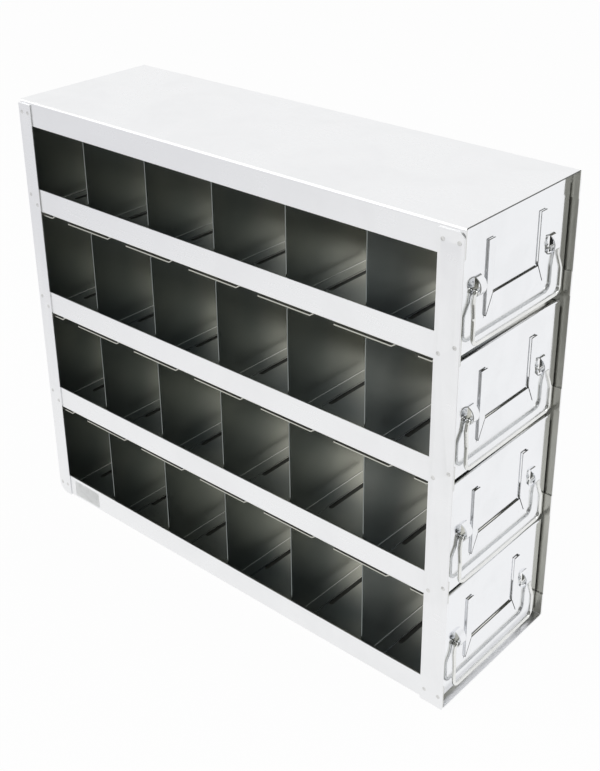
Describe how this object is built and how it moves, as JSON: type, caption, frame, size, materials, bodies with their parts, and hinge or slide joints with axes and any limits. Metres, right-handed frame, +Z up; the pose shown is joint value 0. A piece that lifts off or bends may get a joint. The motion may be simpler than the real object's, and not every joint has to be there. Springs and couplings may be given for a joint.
{
  "type": "freezer drawer rack",
  "caption": "Upright stainless-steel freezer rack with stacked sliding drawers, cross dividers, lanced label holders and hinged wire pull handles on open windowed sides.",
  "frame": {"origin": "centre of the underside, on the surface that the rack stands on", "axes": "+X the way the drawers pull out, +Y towards the far long side, +Z up"},
  "size_m": [0.44, 0.14, 0.382],
  "materials": {
    "rack_steel": "satin stainless sheet",
    "drawer_steel": "plain mill stainless sheet",
    "front_steel": "bright annealed stainless sheet",
    "wire_steel": "bright drawn stainless wire"
  },
  "bodies": {
    "rack": {"top_cover": "rack_steel", "base_pan": "rack_steel", "front_post_near": "rack_steel", "front_post_far": "rack_steel", "rear_post_near": "rack_steel", "rear_post_far": "rack_steel", "shelf_1": "rack_steel", "shelf_2": "rack_steel", "shelf_3": "rack_steel", "rear_strap_1": "rack_steel", "rear_strap_2": "rack_steel", "rear_strap_3": "rack_steel", "rear_strap_4": "rack_steel"},
    "drawer_1": {"drawer_1_tray": "drawer_steel", "drawer_1_front": "front_steel", "drawer_1_divider_1": "drawer_steel", "drawer_1_divider_2": "drawer_steel", "drawer_1_divider_3": "drawer_steel", "drawer_1_divider_4": "drawer_steel", "drawer_1_divider_5": "drawer_steel"},
    "handle_1": {"drawer_1_handle": "wire_steel"},
    "drawer_2": {"drawer_2_tray": "drawer_steel", "drawer_2_front": "front_steel", "drawer_2_divider_1": "drawer_steel", "drawer_2_divider_2": "drawer_steel", "drawer_2_divider_3": "drawer_steel", "drawer_2_divider_4": "drawer_steel", "drawer_2_divider_5": "drawer_steel"},
    "handle_2": {"drawer_2_handle": "wire_steel"},
    "drawer_3": {"drawer_3_tray": "drawer_steel", "drawer_3_front": "front_steel", "drawer_3_divider_1": "drawer_steel", "drawer_3_divider_2": "drawer_steel", "drawer_3_divider_3": "drawer_steel", "drawer_3_divider_4": "drawer_steel", "drawer_3_divider_5": "drawer_steel"},
    "handle_3": {"drawer_3_handle": "wire_steel"},
    "drawer_4": {"drawer_4_tray": "drawer_steel", "drawer_4_front": "front_steel", "drawer_4_divider_1": "drawer_steel", "drawer_4_divider_2": "drawer_steel", "drawer_4_divider_3": "drawer_steel", "drawer_4_divider_4": "drawer_steel", "drawer_4_divider_5": "drawer_steel"},
    "handle_4": {"drawer_4_handle": "wire_steel"}
  },
  "joints": [
    {"name": "drawer_1_slide", "type": "slide", "parent": "rack", "child": "drawer_1", "axis": [1, 0, 0], "range_m": [0, 0.33]},
    {"name": "handle_1_swing", "type": "hinge", "parent": "drawer_1", "child": "handle_1", "pos_m": [0.2164, 0, 0.332], "axis": [0, -1, 0], "range_deg": [0, 170]},
    {"name": "drawer_2_slide", "type": "slide", "parent": "rack", "child": "drawer_2", "axis": [1, 0, 0], "range_m": [0, 0.33]},
    {"name": "handle_2_swing", "type": "hinge", "parent": "drawer_2", "child": "handle_2", "pos_m": [0.2164, 0, 0.237], "axis": [0, -1, 0], "range_deg": [0, 170]},
    {"name": "drawer_3_slide", "type": "slide", "parent": "rack", "child": "drawer_3", "axis": [1, 0, 0], "range_m": [0, 0.33]},
    {"name": "handle_3_swing", "type": "hinge", "parent": "drawer_3", "child": "handle_3", "pos_m": [0.2164, 0, 0.142], "axis": [0, -1, 0], "range_deg": [0, 170]},
    {"name": "drawer_4_slide", "type": "slide", "parent": "rack", "child": "drawer_4", "axis": [1, 0, 0], "range_m": [0, 0.33]},
    {"name": "handle_4_swing", "type": "hinge", "parent": "drawer_4", "child": "handle_4", "pos_m": [0.2164, 0, 0.047], "axis": [0, -1, 0], "range_deg": [0, 170]}
  ]
}
